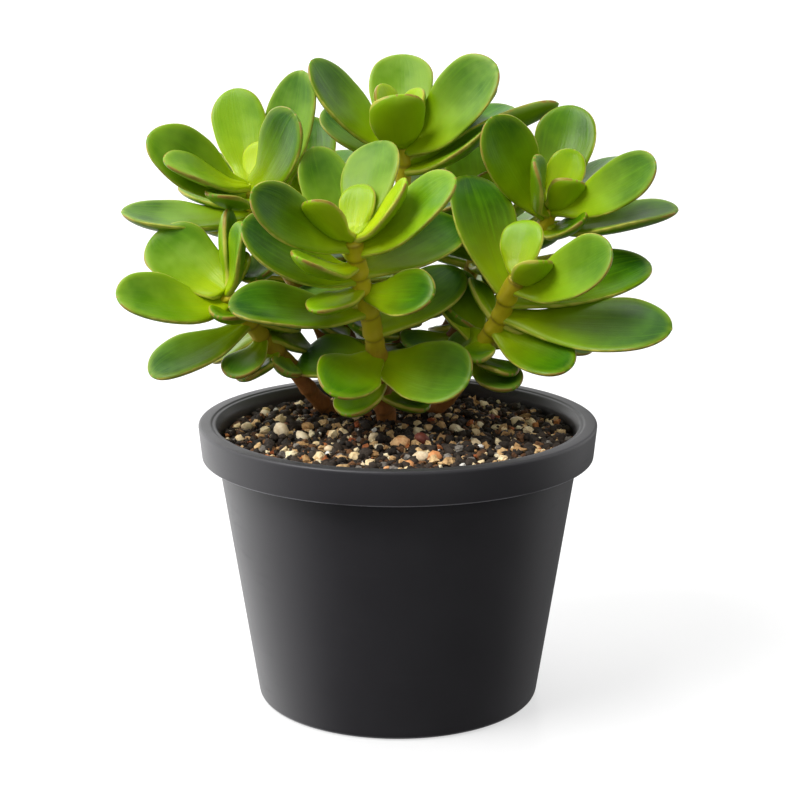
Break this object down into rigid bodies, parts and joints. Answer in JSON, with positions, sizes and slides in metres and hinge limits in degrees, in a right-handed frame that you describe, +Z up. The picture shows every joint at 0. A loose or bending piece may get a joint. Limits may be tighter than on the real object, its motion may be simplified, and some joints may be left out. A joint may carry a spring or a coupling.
{
  "type": "potted jade plant",
  "caption": "Bushy potted jade plant: fleshy spoon-shaped leaves on several leaning stems, rooted in gritty soil in a plain tapered plastic nursery pot with a deep collar.",
  "frame": {"origin": "centre of the flat underside of the pot, on the pot's axis, where the pot stands on a surface", "axes": "+Z up along the pot's axis; -Y is the front of the plant, +X is to the right when seen from the front"},
  "size_m": [0.2071, 0.1769, 0.2403],
  "materials": {
    "pot_plastic": "satin",
    "gritty_soil": "matte",
    "stem_bark": "matte",
    "jade_leaf": "satin"
  },
  "bodies": {
    "root": {"pot": "pot_plastic", "soil": "gritty_soil", "stem_front": "stem_bark", "stem_right": "stem_bark", "stem_right_back": "stem_bark", "stem_left": "stem_bark", "stem_left_back": "stem_bark", "stem_top": "stem_bark", "stem_back_left": "stem_bark", "stem_back_right": "stem_bark", "leaf_front_1": "jade_leaf", "leaf_front_2": "jade_leaf", "leaf_front_3": "jade_leaf", "leaf_front_4": "jade_leaf", "leaf_front_5": "jade_leaf", "leaf_front_6": "jade_leaf", "leaf_front_7": "jade_leaf", "leaf_front_8": "jade_leaf", "leaf_front_9": "jade_leaf", "leaf_front_10": "jade_leaf", "leaf_front_11": "jade_leaf", "leaf_right_1": "jade_leaf", "leaf_right_2": "jade_leaf", "leaf_right_3": "jade_leaf", "leaf_right_4": "jade_leaf", "leaf_right_5": "jade_leaf", "leaf_right_6": "jade_leaf", "leaf_right_7": "jade_leaf", "leaf_right_back_1": "jade_leaf", "leaf_right_back_2": "jade_leaf", "leaf_right_back_3": "jade_leaf", "leaf_right_back_4": "jade_leaf", "leaf_right_back_5": "jade_leaf", "leaf_left_1": "jade_leaf", "leaf_left_2": "jade_leaf", "leaf_left_3": "jade_leaf", "leaf_left_4": "jade_leaf", "leaf_left_5": "jade_leaf", "leaf_left_back_1": "jade_leaf", "leaf_left_back_2": "jade_leaf", "leaf_left_back_3": "jade_leaf", "leaf_left_back_4": "jade_leaf", "leaf_left_back_5": "jade_leaf", "leaf_left_back_6": "jade_leaf", "leaf_top_1": "jade_leaf", "leaf_top_2": "jade_leaf", "leaf_top_3": "jade_leaf", "leaf_top_4": "jade_leaf", "leaf_top_5": "jade_leaf", "leaf_top_6": "jade_leaf", "leaf_back_left_1": "jade_leaf", "leaf_back_left_2": "jade_leaf", "leaf_back_left_3": "jade_leaf", "leaf_back_left_4": "jade_leaf", "leaf_back_left_5": "jade_leaf", "leaf_back_right_1": "jade_leaf", "leaf_back_right_2": "jade_leaf", "leaf_back_right_3": "jade_leaf", "leaf_back_right_4": "jade_leaf", "leaf_back_right_5": "jade_leaf"}
  },
  "joints": []
}
